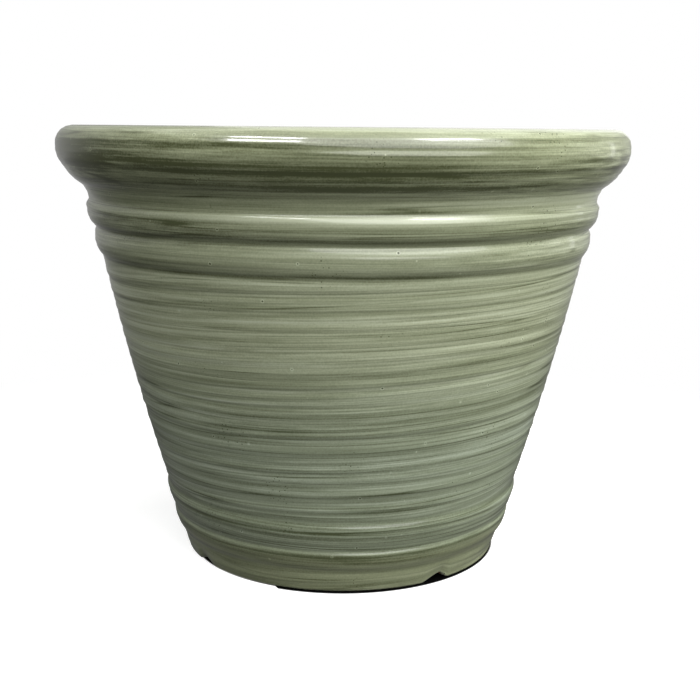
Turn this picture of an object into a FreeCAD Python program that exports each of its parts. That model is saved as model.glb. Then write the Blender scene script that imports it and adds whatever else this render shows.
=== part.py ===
"""A round glazed planter: a heavy thrown pot and the rubber plug that closes its drain hole.

FreeCAD 1.1 macro. Millimetres, +Z up. The origin is on the ground at the centre of the foot,
and the front of the pot faces -Y. The sheet "dims" holds every size. The pot is one turned
profile with four notches cut through its foot ring, and the plug is a turned stopper with a
pull tab.
"""
import FreeCAD, Part
import os
import Sketcher

# Driving sizes: name, value, what it is. Radii are measured from the pot's axis.
SIZES = (
    ("total_height", 288, "ground to the top of the rim"),
    ("rim_radius", 190, "widest part of the rim"),
    ("rim_width", 31.5, "rim across its top, from the outside to the mouth"),
    ("rim_depth", 37.5, "top of the rim down to the neck"),
    ("rim_band", 4, "upright band round the widest part of the rim"),
    ("rim_belly", 19, "radius of the round below the band, turned through 45 degrees"),
    ("rim_under_bulge", 0.8, "bulge of the slope below that round"),
    ("lip_round", 8, "round of the rim's outer top edge"),
    ("mouth_round", 6, "round of the rim's inner top edge"),
    ("neck_radius", 173, "neck where it meets the rim"),
    ("neck_height", 10.2, "hollow neck between the rim and the first bead"),
    ("neck_hollow", 0.6, "depth of the neck's hollow"),
    ("first_bead_top_radius", 170.6, "top of the first bead"),
    ("first_bead_height", 16.8, "first bead from edge to edge"),
    ("first_bead_bulge", 2.8, "first bead's bulge"),
    ("bead_crease_radius", 165.2, "crease between the two upper beads"),
    ("second_bead_height", 18, "second bead from edge to edge"),
    ("second_bead_bulge", 3.4, "second bead's bulge"),
    ("wall_top_radius", 162.2, "tapered wall under the beads"),
    ("wall_bow", 1.7, "how far the tapered wall bows outwards"),
    ("wall_foot_radius", 121.9, "tapered wall above the base beads"),
    ("wall_thickness", 13, "fired clay wall"),
    ("shoulder_drop", 3.5, "rounded shoulder of the base bead"),
    ("base_bead_radius", 123.2, "shoulder of the base bead"),
    ("base_bead_height", 15.5, "base bead below its shoulder"),
    ("base_bead_bulge", 0.5, "base bead's bulge"),
    ("base_crease_radius", 117, "crease between the base bead and the foot bead"),
    ("crease_drop", 2.5, "crease down to the foot bead's shoulder"),
    ("foot_bead_radius", 118, "shoulder of the foot bead"),
    ("foot_bead_height", 12, "foot bead below its shoulder"),
    ("foot_bead_bulge", 1.7, "foot bead's bulge"),
    ("foot_top_radius", 111.6, "foot ring where it meets the foot bead"),
    ("foot_height", 15, "foot ring on the outside"),
    ("foot_radius", 108.7, "foot ring on the ground"),
    ("foot_edge_round", 1.5, "worn outer edge of the foot ring"),
    ("foot_ring_width", 13, "ground face of the foot ring"),
    ("foot_ring_draft", 1.5, "slope of the foot ring's inner side"),
    ("foot_hollow", 8, "ground to the underside of the floor"),
    ("floor_thickness", 14, "floor of the pot"),
    ("inside_round", 12, "round between the inner wall and the floor"),
    ("notch_width", 24, "drainage notch across the ground"),
    ("notch_height", 5, "drainage notch at its crown"),
    ("notch_turn", 36.5, "first pair of notches, degrees from +X"),
    ("drain_radius", 12, "drain hole"),
    ("drain_chamfer", 1.2, "eased top edge of the drain hole"),
    ("plug_clearance", 0.3, "gap all round the plug's stem"),
    ("plug_flange_overlap", 6.5, "flange beyond the edge of the drain hole"),
    ("plug_flange_height", 3.5, "flange at its middle"),
    ("plug_edge_height", 2, "flange at its edge"),
    ("plug_reach", 2.5, "plug's end below the floor"),
    ("plug_taper", 1.4, "stem's end smaller than its top, in radius"),
    ("tab_width", 15, "pull tab across"),
    ("tab_thickness", 4, "pull tab through"),
    ("tab_height", 15, "pull tab above the flange"),
    ("tab_crown", 6, "rounded top of the pull tab"),
    ("tab_hole_radius", 3.5, "hole in the pull tab"),
)

# Sizes worked out from the ones above.
QUARTER_BULGE = 1 - 0.5**0.5  # bulge of a quarter circle of radius 1
EIGHTH_BULGE = "(1 - cos(22.5))"  # bulge of an eighth of a circle of radius 1
DERIVED = (
    ("axis_line", "0"),
    ("ground", "0"),
    ("lip_radius", "rim_radius - lip_round"),
    ("lip_bottom", "total_height - lip_round"),
    ("lip_bulge", f"lip_round * {QUARTER_BULGE}"),
    ("band_bottom", "lip_bottom - rim_band"),
    ("belly_radius", "rim_radius - rim_belly * (1 - cos(45))"),
    ("belly_bottom", "band_bottom - rim_belly * sin(45)"),
    ("belly_bulge", f"rim_belly * {EIGHTH_BULGE}"),
    ("rim_bottom", "total_height - rim_depth"),
    ("mouth_radius", "rim_radius - rim_width"),
    ("mouth_top_radius", "mouth_radius + mouth_round"),
    ("mouth_bottom", "total_height - mouth_round"),
    ("mouth_bulge", f"mouth_round * {QUARTER_BULGE}"),
    ("neck_bottom", "rim_bottom - neck_height"),
    ("first_bead_bottom", "neck_bottom - first_bead_height"),
    ("wall_top", "first_bead_bottom - second_bead_height"),
    ("foot_bead_top", "foot_height + foot_bead_height"),
    ("base_crease", "foot_bead_top + crease_drop"),
    ("base_bead_top", "base_crease + base_bead_height"),
    ("wall_foot", "base_bead_top + shoulder_drop"),
    ("wall_slope", "(wall_top_radius - wall_foot_radius) / (wall_top - wall_foot)"),
    ("shoulder_bulge", "shoulder_drop / 5"),
    ("crease_bulge", "crease_drop / 5"),
    ("foot_flat_radius", "foot_radius - foot_edge_round"),
    ("foot_edge_bulge", f"foot_edge_round * {QUARTER_BULGE}"),
    ("foot_inner_radius", "foot_radius - foot_ring_width"),
    ("hollow_radius", "foot_inner_radius - foot_ring_draft"),
    ("floor_top", "foot_hollow + floor_thickness"),
    ("inside_top_radius", "wall_top_radius - wall_thickness"),
    ("inside_corner", "floor_top + inside_round"),
    ("inside_corner_radius", "wall_foot_radius - wall_thickness - wall_slope * (wall_foot - inside_corner)"),
    ("inside_floor_radius", "inside_corner_radius - inside_round"),
    ("inside_bulge", f"inside_round * {QUARTER_BULGE}"),
    ("drain_top", "floor_top - drain_chamfer"),
    ("drain_top_radius", "drain_radius + drain_chamfer"),
    ("notch_radius", "(notch_width^2 / 4 + notch_height^2) / (2 * notch_height)"),
    ("notch_centre", "notch_height - notch_radius"),
    ("notch_length", "2 * foot_bead_radius"),
    ("stem_radius", "drain_radius - plug_clearance"),
    ("stem_end_radius", "stem_radius - plug_taper"),
    ("stem_end", "0 - floor_thickness - plug_reach"),
    ("stem_tip", "stem_end + plug_taper"),
    ("flange_radius", "drain_radius + plug_flange_overlap"),
    ("flange_dome", "plug_flange_height - plug_edge_height"),
    ("tab_root", "plug_flange_height / 2"),
    ("tab_side", "tab_width / 2"),
    ("tab_other_side", "0 - tab_width / 2"),
    ("tab_shoulder", "plug_flange_height + tab_height - tab_crown"),
)

OUTWARD = "outward"  # an arc that bulges to the right of the way it is drawn
INWARD = "inward"  # an arc that bulges to the left


def fill_sheet(doc):
    """The sheet of sizes: a column of values with their names, then the worked-out ones."""
    sheet = doc.addObject("Spreadsheet::Sheet", "dims")
    row = 1
    for name, value, meaning in SIZES:
        sheet.set(f"A{row}", str(value))
        sheet.setAlias(f"A{row}", name)
        sheet.set(f"B{row}", meaning)
        row += 1
    for name, formula in DERIVED:
        sheet.set(f"A{row}", "=" + formula)
        sheet.setAlias(f"A{row}", name)
        row += 1
    doc.recompute()
    return sheet


def own_plane(body, role):
    """One of the body's own origin planes, such as "XZ_Plane"."""
    for feature in body.Origin.OriginFeatures:
        if feature.Role == role:
            return feature
    raise ValueError(f"{body.Label} has no {role}")


def new_sketch(body, name, role):
    """An empty sketch lying in one of the body's own planes."""
    sketch = body.newObject("Sketcher::SketchObject", name)
    sketch.AttachmentSupport = [(own_plane(body, role), "")]
    sketch.MapMode = "FlatFace"
    return sketch


def bind(sketch, constraint, name, formula):
    """Add a constraint and tie it to the sheet."""
    index = sketch.addConstraint(constraint)
    sketch.renameConstraint(index, name)
    sketch.setExpression(f"Constraints.{name}", formula)


def arc_between(start, end, bulge, way):
    """The arc from start to end whose middle stands off the chord by bulge."""
    chord = end - start
    across = FreeCAD.Vector(chord.y, -chord.x, 0).normalize()
    if way == INWARD:
        across = -across
    middle = (start + end) / 2 + across * bulge
    return Part.Arc(start, middle, end)


def outline(sketch, sheet, steps):
    """A closed outline. A step is (across, up) for a corner with a straight stretch after it,
    or (across, up, bulge, way) with an arc after it. The first three are names of cells.
    """
    corners = [FreeCAD.Vector(sheet.get(step[0]), sheet.get(step[1]), 0) for step in steps]
    ends = []
    for i, step in enumerate(steps):
        start = corners[i]
        end = corners[(i + 1) % len(steps)]
        if len(step) == 2:
            geo = sketch.addGeometry(Part.LineSegment(start, end), False)
            ends.append((geo, 1, 2))
            continue
        bulge, way = step[2:]
        geo = sketch.addGeometry(arc_between(start, end, sheet.get(bulge), way), False)
        ends.append((geo, 1, 2) if way == OUTWARD else (geo, 2, 1))
    for i, (geo, first, last) in enumerate(ends):
        next_geo, next_first, _ = ends[(i + 1) % len(ends)]
        sketch.addConstraint(Sketcher.Constraint("Coincident", geo, last, next_geo, next_first))
    for i, (geo, first, last) in enumerate(ends):
        step = steps[i]
        after = steps[(i + 1) % len(steps)]
        corner = corners[i]
        place_x = Sketcher.Constraint("DistanceX", -1, 1, geo, first, corner.x)
        place_y = Sketcher.Constraint("DistanceY", -1, 1, geo, first, corner.y)
        bind(sketch, place_x, f"x{i}", f"dims.{step[0]}")
        bind(sketch, place_y, f"y{i}", f"dims.{step[1]}")
        if len(step) == 4:
            radius = sketch.Geometry[geo].Radius
            square = f"(dims.{after[0]} - dims.{step[0]})^2 + (dims.{after[1]} - dims.{step[1]})^2"
            formula = f"({square}) / (8 * dims.{step[2]}) + dims.{step[2]} / 2"
            bind(sketch, Sketcher.Constraint("Radius", geo, radius), f"r{i}", formula)


def turned(body, name, sheet, steps):
    """A solid of revolution about the body's Z axis."""
    sketch = new_sketch(body, name + "_profile", "XZ_Plane")
    outline(sketch, sheet, steps)
    feature = body.newObject("PartDesign::Revolution", name)
    feature.Profile = sketch
    feature.ReferenceAxis = (sketch, ["V_Axis"])
    feature.Angle = 360
    return feature


def make_pot(doc, sheet):
    """The pot: foot ring, base beads, tapered wall, upper beads, neck, rolled rim and the inside."""
    body = doc.addObject("PartDesign::Body", "pot")
    outside = (
        ("hollow_radius", "foot_hollow"),
        ("foot_inner_radius", "ground"),
        ("foot_flat_radius", "ground", "foot_edge_bulge", OUTWARD),
        ("foot_radius", "foot_edge_round"),
        ("foot_top_radius", "foot_height", "foot_bead_bulge", OUTWARD),
        ("foot_bead_radius", "foot_bead_top", "crease_bulge", OUTWARD),
        ("base_crease_radius", "base_crease", "base_bead_bulge", OUTWARD),
        ("base_bead_radius", "base_bead_top", "shoulder_bulge", OUTWARD),
        ("wall_foot_radius", "wall_foot", "wall_bow", OUTWARD),
        ("wall_top_radius", "wall_top", "second_bead_bulge", OUTWARD),
        ("bead_crease_radius", "first_bead_bottom", "first_bead_bulge", OUTWARD),
        ("first_bead_top_radius", "neck_bottom", "neck_hollow", INWARD),
        ("neck_radius", "rim_bottom", "rim_under_bulge", OUTWARD),
        ("belly_radius", "belly_bottom", "belly_bulge", OUTWARD),
        ("rim_radius", "band_bottom"),
        ("rim_radius", "lip_bottom", "lip_bulge", OUTWARD),
    )
    inside = (
        ("lip_radius", "total_height"),
        ("mouth_top_radius", "total_height", "mouth_bulge", OUTWARD),
        ("mouth_radius", "mouth_bottom"),
        ("inside_top_radius", "wall_top"),
        ("inside_corner_radius", "inside_corner", "inside_bulge", INWARD),
        ("inside_floor_radius", "floor_top"),
        ("drain_top_radius", "floor_top"),
        ("drain_radius", "drain_top"),
        ("drain_radius", "foot_hollow"),
    )
    turned(body, "pot_turned", sheet, outside + inside)

    sketch = new_sketch(body, "notch_arch", "XZ_Plane")
    turn = FreeCAD.Rotation(FreeCAD.Vector(0, 1, 0), sheet.get("notch_turn"))
    sketch.AttachmentOffset = FreeCAD.Placement(FreeCAD.Vector(0, 0, 0), turn)
    sketch.setExpression("AttachmentOffset.Rotation.Angle", "dims.notch_turn + 90")
    centre = FreeCAD.Vector(0, sheet.get("notch_centre"), 0)
    up = FreeCAD.Vector(0, 0, 1)
    arch = sketch.addGeometry(Part.Circle(centre, up, sheet.get("notch_radius")), False)
    sketch.addConstraint(Sketcher.Constraint("PointOnObject", arch, 3, -2))
    height = Sketcher.Constraint("DistanceY", -1, 1, arch, 3, sheet.get("notch_centre"))
    bind(sketch, height, "centre", "dims.notch_centre")
    size = Sketcher.Constraint("Radius", arch, sheet.get("notch_radius"))
    bind(sketch, size, "radius", "dims.notch_radius")
    notches = body.newObject("PartDesign::Pocket", "notch_pair")
    notches.Profile = sketch
    notches.Midplane = True
    notches.setExpression("Length", "dims.notch_length")
    pattern = body.newObject("PartDesign::PolarPattern", "notches")
    pattern.Originals = [notches]
    pattern.Axis = (sketch, ["V_Axis"])
    pattern.Angle = 90
    pattern.Occurrences = 2
    body.Tip = pattern
    return body


def make_drain_plug(doc, sheet):
    """The stopper: a domed flange on the floor, a tapered stem in the hole and a pull tab."""
    body = doc.addObject("PartDesign::Body", "drain_plug")
    body.setExpression("Placement.Base.z", "dims.floor_top")
    stopper = (
        ("axis_line", "stem_end"),
        ("stem_end_radius", "stem_end"),
        ("stem_radius", "stem_tip"),
        ("stem_radius", "ground"),
        ("flange_radius", "ground"),
        ("flange_radius", "plug_edge_height"),
        ("tab_side", "plug_flange_height"),
        ("axis_line", "plug_flange_height"),
    )
    turned(body, "plug_turned", sheet, stopper)

    sketch = new_sketch(body, "tab_shape", "XZ_Plane")
    tab = (
        ("tab_other_side", "tab_root"),
        ("tab_side", "tab_root"),
        ("tab_side", "tab_shoulder", "tab_crown", OUTWARD),
        ("tab_other_side", "tab_shoulder"),
    )
    outline(sketch, sheet, tab)
    pad = body.newObject("PartDesign::Pad", "tab")
    pad.Profile = sketch
    pad.Midplane = True
    pad.setExpression("Length", "dims.tab_thickness")

    sketch = new_sketch(body, "tab_eye", "XZ_Plane")
    centre = FreeCAD.Vector(0, sheet.get("tab_shoulder"), 0)
    up = FreeCAD.Vector(0, 0, 1)
    eye = sketch.addGeometry(Part.Circle(centre, up, sheet.get("tab_hole_radius")), False)
    sketch.addConstraint(Sketcher.Constraint("PointOnObject", eye, 3, -2))
    height = Sketcher.Constraint("DistanceY", -1, 1, eye, 3, sheet.get("tab_shoulder"))
    bind(sketch, height, "centre", "dims.tab_shoulder")
    size = Sketcher.Constraint("Radius", eye, sheet.get("tab_hole_radius"))
    bind(sketch, size, "radius", "dims.tab_hole_radius")
    hole = body.newObject("PartDesign::Pocket", "tab_hole")
    hole.Profile = sketch
    hole.Midplane = True
    hole.setExpression("Length", "dims.tab_width")
    return body


def check(doc, bodies):
    """Stop at the first object that failed or cut nothing."""
    for item in doc.Objects:
        if "Invalid" in item.State or "Error" in item.State:
            raise RuntimeError(f"{item.Label}: {item.State}")
    for body in bodies:
        if body.Shape.isNull() or not body.Shape.isValid() or len(body.Shape.Solids) != 1:
            raise RuntimeError(f"{body.Label} is not one valid solid")
    for before, after in (("pot_turned", "notch_pair"), ("notch_pair", "notches"), ("tab", "tab_hole")):
        if doc.getObject(after).Shape.Volume >= doc.getObject(before).Shape.Volume:
            raise RuntimeError(f"{after} cuts nothing")


def main():
    doc = FreeCAD.newDocument("planter")
    sheet = fill_sheet(doc)
    bodies = (make_pot(doc, sheet), make_drain_plug(doc, sheet))
    doc.recompute()
    check(doc, bodies)
    os.makedirs("parts", exist_ok=True)
    for body in bodies:
        body.Label = body.Name
        body.Shape.exportStep(f"parts/{body.Name}.step")
        box = body.Shape.BoundBox
        print(f"{body.Name}: {body.Shape.Volume / 1000:.1f} cm3, z {box.ZMin:.2f} to {box.ZMax:.2f}")


main()
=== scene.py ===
"""A round planter in brushed sage-green glaze over terracotta, with a rubber drain plug."""
import math
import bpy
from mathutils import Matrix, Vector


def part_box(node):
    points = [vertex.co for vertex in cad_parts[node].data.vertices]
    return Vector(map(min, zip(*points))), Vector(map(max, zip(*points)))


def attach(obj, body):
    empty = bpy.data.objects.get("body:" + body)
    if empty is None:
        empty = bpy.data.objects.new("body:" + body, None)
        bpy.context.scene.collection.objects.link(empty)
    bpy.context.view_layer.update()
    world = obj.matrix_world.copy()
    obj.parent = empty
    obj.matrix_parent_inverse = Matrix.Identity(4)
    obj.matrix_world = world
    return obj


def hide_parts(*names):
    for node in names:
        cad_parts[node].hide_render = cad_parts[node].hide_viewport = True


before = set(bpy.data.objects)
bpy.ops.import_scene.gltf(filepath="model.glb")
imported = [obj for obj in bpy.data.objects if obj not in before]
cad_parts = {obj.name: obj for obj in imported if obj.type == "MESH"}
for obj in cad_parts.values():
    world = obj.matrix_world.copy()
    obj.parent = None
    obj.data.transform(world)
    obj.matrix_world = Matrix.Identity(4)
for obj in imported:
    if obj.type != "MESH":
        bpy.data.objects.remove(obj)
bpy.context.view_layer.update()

from types import SimpleNamespace

import bpy
import numpy as np
from bpy.props import FloatProperty, FloatVectorProperty, IntProperty, PointerProperty
from mathutils import Matrix, Vector

bl_info = {
    "name": "Glazed planter",
    "version": (1, 0, 0),
    "blender": (4, 5, 0),
    "location": "View3D > Sidebar > Planter",
    "description": "Builds a glazed terracotta planter and its drain plug on the packed frame",
    "category": "Object",
}

MM = 0.001  # the outlines below are in millimetres, and the meshes in metres
POT_LOW, POT_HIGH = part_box("pot")
PLUG_LOW, PLUG_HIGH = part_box("drain_plug")

# The full sizes are a hair less than the solid's, because the rim's curves swell past them.
HEIGHT = float(POT_HIGH[2]) / MM - 0.01
RIM = -float(POT_LOW[1]) / MM - 0.03
PLUG_BOTTOM = float(PLUG_LOW[2]) / MM
PLUG_TOP = float(PLUG_HIGH[2]) / MM

# Heights and radii that several parts of the pot share.
NECK = 244.0
WALL_TOP = 205.5
WALL_FOOT = 48.5
FLOOR_TOP = 22.0
FOOT_HEIGHT = 15.0
FOOT_HOLLOW = 8.0  # height of the underside above the ground
FOOT_RADIUS = 108.7
FOOT_MIDDLE = 101.0  # radius of the middle of the ring that the pot stands on
DRAIN = 12.0  # radius of the drain hole

# The pot's outline, from the drain hole's lower edge out and up over the rim and back down
# inside. Each corner is radius, height and the bulge of the stretch that follows it.
POT_OUTLINE = (
    (DRAIN, FOOT_HOLLOW, 0),
    (94.2, FOOT_HOLLOW, 0),
    (95.7, 0, 0),
    (FOOT_RADIUS - 1.5, 0, 0.44),
    (FOOT_RADIUS, 1.5, 0.3),
    (112.4, FOOT_HEIGHT, 1.1),  # foot bead
    (118, 27, 0.5),
    (117.2, 29.5, 0.5),  # base bead
    (122.6, 43.7, 0.5),
    (121.9, WALL_FOOT, 1.7),  # tapered wall
    (162.2, WALL_TOP, 1.6),  # second bead
    (166.6, 218.8, 0.6),  # its sloping shoulder
    (165.2, 223.5, 1.8),  # first bead
    (171.3, 235.6, 1.0),  # its rounded shoulder
    (169.8, 240.9, -0.8),  # neck
    (173.9, 250.7, 1.1),  # slope under the rim
    (185.3, 262.4, 1.5),
    (RIM, 276, 0),
    (RIM, HEIGHT - 10.5, 3.4),
    (RIM - 12.5, HEIGHT, 0),
    (RIM - 25.5, HEIGHT, 1.76),
    (RIM - 31.5, HEIGHT - 6, 0),
    (149.2, WALL_TOP, 0),
    (105.2, 34, -3.5),
    (93.2, FLOOR_TOP, 0),
    (DRAIN + 1.2, FLOOR_TOP, 0),
    (DRAIN, FLOOR_TOP - 1.2, 0),
)
OUTLINE_STEP = 0.2  # between the points of an outline, before its rows are chosen

# Along the outline, on from the top of the rim.
LIP_WIDTH = 26.0
OUTSIDE_ENDS = (12.0, 30.0)  # the brushed outside fades out between these
INSIDE_BEGINS = (LIP_WIDTH, 50.0)  # and the inside fades in between these

# How far apart the mesh's rows are up the outline.
ROWS_UNSEEN = 7.0
ROWS_INSIDE = 3.2
ROWS_OUTSIDE = 1.25
ROWS_SHOULDER = 0.65

# The tight turns of the outline: height and reach.
SHOULDERS = ((27, 3), (44, 3), (220, 3.5), (239, 3.5), (283, 6))

# Zones of the pot, as the heights between which each fades in and then those between which it
# fades out. A zone that reaches the ground or the top fades under or over the pot.
UNDER = (-2, -1)
OVER = (HEIGHT + 1, HEIGHT + 2)
ON_FOOT = (*UNDER, 22, 34)
ON_BASE = (FOOT_HEIGHT - 6, FOOT_HEIGHT, WALL_FOOT - 2, WALL_FOOT + 4)
ON_WALL = (WALL_FOOT - 3, WALL_FOOT + 8, WALL_TOP - 9, WALL_TOP)
ON_BEADS = (WALL_TOP - 4, WALL_TOP + 2, NECK - 6, NECK + 4)
ON_UPPER = (WALL_TOP - 6, WALL_TOP + 4, *OVER)
ON_RIM = (NECK + 3, NECK + 14, *OVER)

BRUSH_DEPTH = 0.06  # of the brush marks off the wall
RING_DEPTH = 0.3  # of the throwing rings inside
EDGE_WAVER = 2.2  # how far the edge of the glaze inside the mouth wanders up and down
EDGE_REACH = 25.0  # and how far from that edge the surface is drawn along with it
GLAZE_UNDER = 8.0  # how far the glaze reaches in under the foot

# Foot notches: direction in degrees from +X, and the side that the crown leans to.
NOTCHES = ((35, 0.4), (125, -0.4), (215, -0.4), (305, 0.4))

# The foot was trimmed a little closer here: direction in degrees from +X, reach in radians,
# depth on the ground and the height at which the trimming ends.
TRIM = (-20, 0.6, 1.5, 14)

# Painted shade in the creases and along the bead edges, with the glaze that ran together there:
# height, reach and depth of tone.
CREASE_POOLING_AND_SHADE = (
    (225, 3.5, 0.2),  # between the two upper beads
    (206, 2, 0.3),  # under the second bead
    (43.3, 0.8, 0.25),  # upper edge of the base bead
    (26.2, 0.8, 0.25),  # upper edge of the foot bead
    (24, 3, 0.17),  # upper part of the foot bead
)

# Painted light in rings round the pot: painted shade, or painted highlight where the number is below
# 0, with more or less of it on each side as the light falls there. Height, reach, depth of tone all
# round, and what is added to it on the -X side and on the +X side.
PAINTED_LIGHT_RINGS = (
    (288, 3, 0, 0, -0.12),  # top of the rim
    (279.5, 4, 0.21, -0.13, -0.25),  # upper face of the rim
    (271, 6, 0.17, 0.2, -0.2),  # lower face of the rim
    (248, 5, 0.06, 0, -0.5),  # neck
    (239, 3.5, -0.44, 0.52, 0.26),  # shoulder of the first bead
    (232, 3, 0.1, 0, 0),  # its lower face
    (225, 16, 0, 0.1, 0.1),  # both upper beads
    (225, 3.5, 0, -0.25, -0.4),  # the crease between them
    (219, 3, -0.18, 0, 0),  # shoulder of the second bead
    (211, 3, 0.1, 0, 0),  # its lower face
    (206, 3, 0, -0.2, -0.25),  # the crease under it
    (175, 35, -0.06, 0, 0),  # upper wall
    (145, 40, 0, -0.12, 0),  # middle of the wall
    (90, 35, 0, 0, -0.1),  # lower wall
    (48.5, 2.5, 0.14, 0, 0),  # shoulder of the base bead
    (41, 3, 0.2, 0, 0),  # its lower face
    (29.5, 2, 0.06, 0, 0),  # shoulder of the foot bead
)

# Painted light over wide bands: painted shade, or painted sheen where the number is below 0, as on the
# slope under the rim, on the -X side of the upper pot and on top of the rim. The four heights of a
# zone, depth of tone all round, and what is added to it on the -X side and on the +X side.
PAINTED_LIGHT_BANDS = (
    (*UNDER, 20, 26, 0.12, 0, 0),  # foot
    (*ON_UPPER, 0, 0.16, 0),  # from the second bead up
    (250, 255, 262, 272, 0.41, -0.36, -0.32),  # slope under the rim
    (281, 286, *OVER, -0.22, 0, -0.15),  # top of the rim
)

# Single patches of painted light: dark painted reflections on the sides of the rim, and patches of
# painted shade, or painted highlight where the number is below 0, where the light falls unevenly.
# Direction in degrees from +X, height, length in degrees, width and depth of tone.
PAINTED_LIGHT_PATCHES = (
    (-151, 268, 8, 2.4, 0.9),
    (-158, 276, 6, 1.5, 0.5),
    (-24, 266, 5, 2.2, 0.7),
    (-38, 270, 9, 1.2, 0.5),
    (-152, 280, 14, 8, 0.08),
    (-120, 274, 14, 8, -0.22),
    (-88, 268, 25, 9, 0.07),
    (-88, 245, 25, 5, 0.09),
    (-110, 90, 22, 40, 0.08),
)
FRONT = -88  # direction in degrees from +X in which the brushing is calmest


class PotSizes(bpy.types.PropertyGroup):
    """Sizes of the pot's hand-made surface."""

    easing: FloatProperty(
        name="Easing",
        description="How far the glaze rounds the creases and edges",
        default=0.6 * MM,
        unit="LENGTH",
    )
    ridge_depth: FloatProperty(
        name="Ridge depth",
        description="Height of the soft ridges on the tapered wall",
        default=0.2 * MM,
        unit="LENGTH",
    )
    ridge_tilt: FloatProperty(
        name="Ridge tilt",
        description="How far the ridges climb towards +X",
        default=math.radians(2.1),
        unit="ROTATION",
    )
    bead_waver: FloatProperty(
        name="Bead waver",
        description="How far the hand-turned beads waver up and down",
        default=0.3 * MM,
        unit="LENGTH",
    )
    notch_width: FloatProperty(
        name="Notch width",
        description="Width of a foot notch on the ground",
        default=20 * MM,
        unit="LENGTH",
    )
    notch_height: FloatProperty(
        name="Notch height",
        description="Height of a foot notch at its crown",
        default=5 * MM,
        unit="LENGTH",
    )
    glaze_depth: FloatProperty(
        name="Glaze depth",
        description="How far the glaze reaches down inside the mouth",
        default=62 * MM,
        unit="LENGTH",
    )
    columns: IntProperty(
        name="Columns",
        description="Steps round the pot",
        default=236,
        min=64,
    )


def linear(hex_colour):
    """The linear colour of an sRGB hex value: ((c + 0.055) / 1.055) to the power 2.4."""
    parts = [int(hex_colour[i : i + 2], 16) / 255 for i in (1, 3, 5)]
    return [c / 12.92 if c <= 0.04045 else ((c + 0.055) / 1.055) ** 2.4 for c in parts]


def colour(name, description, hex_colour):
    """A colour property whose default is an sRGB hex value."""
    return FloatVectorProperty(
        name=name, description=description, default=linear(hex_colour), subtype="COLOR", min=0, max=1
    )


class PotColours(bpy.types.PropertyGroup):
    """Colours of the glaze, the clay and the plug."""

    glaze_dark: colour("Dark glaze", "Glaze pooled in grooves and creases", "#474c31")
    glaze_mid: colour("Mid glaze", "Body of the glaze", "#868c72")
    glaze_light: colour("Light glaze", "Glaze brushed thin on ridges", "#b0b69e")
    clay: colour("Clay", "Bare fired clay", "#b06a48")
    clay_dark: colour("Dark clay", "Clay in the pores", "#8a4c31")
    rubber: colour("Rubber", "Moulded rubber of the plug", "#1b1b1c")
    rubber_bloom: colour("Rubber bloom", "Grey bloom on the rubber", "#2c2c2d")


class StageSettings(bpy.types.PropertyGroup):
    """Light and camera."""

    camera_distance: FloatProperty(
        name="Camera distance",
        description="From the camera to the pot's axis",
        default=0.79,
        unit="LENGTH",
    )
    camera_side: FloatProperty(
        name="Camera side",
        description="How far the camera stands to the right of the pot's axis",
        default=5.5 * MM,
        unit="LENGTH",
    )
    camera_rise: FloatProperty(
        name="Camera rise",
        description="How far the camera stands above the rim",
        default=0.8 * MM,
        unit="LENGTH",
    )
    camera_pitch: FloatProperty(
        name="Camera pitch",
        description="How far the camera looks down",
        default=math.radians(11.06),
        unit="ROTATION",
    )
    camera_roll: FloatProperty(
        name="Camera roll",
        description="How far the camera is turned about its line of sight",
        default=math.radians(0.5),
        unit="ROTATION",
    )
    fill: FloatProperty(
        name="Fill",
        description="Light from all round",
        default=0.05,
    )
    key: FloatProperty(
        name="Key",
        description="Power of the large soft box in front on the right",
        default=78,
        unit="POWER",
    )
    glint: FloatProperty(
        name="Glint",
        description="Power of each of the two soft boxes that shine on the beads",
        default=10,
        unit="POWER",
    )
    edge: FloatProperty(
        name="Edge",
        description="Power of the narrow soft box that shines along the right-hand edge",
        default=0.35,
        unit="POWER",
    )
    above: FloatProperty(
        name="Above",
        description="Power of the soft box over the pot",
        default=22,
        unit="POWER",
    )
    side_left: FloatProperty(
        name="Left side",
        description="Power of the soft box on the left",
        default=11,
        unit="POWER",
    )
    side_right: FloatProperty(
        name="Right side",
        description="Power of the soft box on the right",
        default=26,
        unit="POWER",
    )
    lens: FloatProperty(
        name="Lens",
        description="Focal length on a 36 mm sensor",
        default=59.0,
        unit="CAMERA",
    )


def stretch(start, end, bulge):
    """Points along one stretch of an outline: start + share * chord + off * across. For a bulge
    they lie on the circle whose middle stands off the chord by it.
    """
    start = np.array(start, float)
    chord = np.array(end, float) - start
    length = math.hypot(*chord)
    share = np.linspace(0, 1, max(2, int(length / OUTLINE_STEP)), endpoint=False)
    off = np.zeros_like(share)
    if bulge:
        half = 2 * math.atan(2 * abs(bulge) / length)
        radius = length / (2 * math.sin(half))
        angle = (2 * share - 1) * half
        share = 0.5 + radius * np.sin(angle) / length
        off = math.copysign(radius, bulge) * (np.cos(angle) - math.cos(half))
    across = np.array((chord[1], -chord[0])) / length
    return start + share[:, None] * chord + off[:, None] * across


def running_sum(steps):
    """The sum of the steps before the first one, which is 0, and after each."""
    return np.concatenate(([0.0], np.cumsum(steps)))


def run_length(line):
    """Distance along a line of points from its first one."""
    return running_sum(np.hypot(*np.diff(line, axis=0).T))


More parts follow.
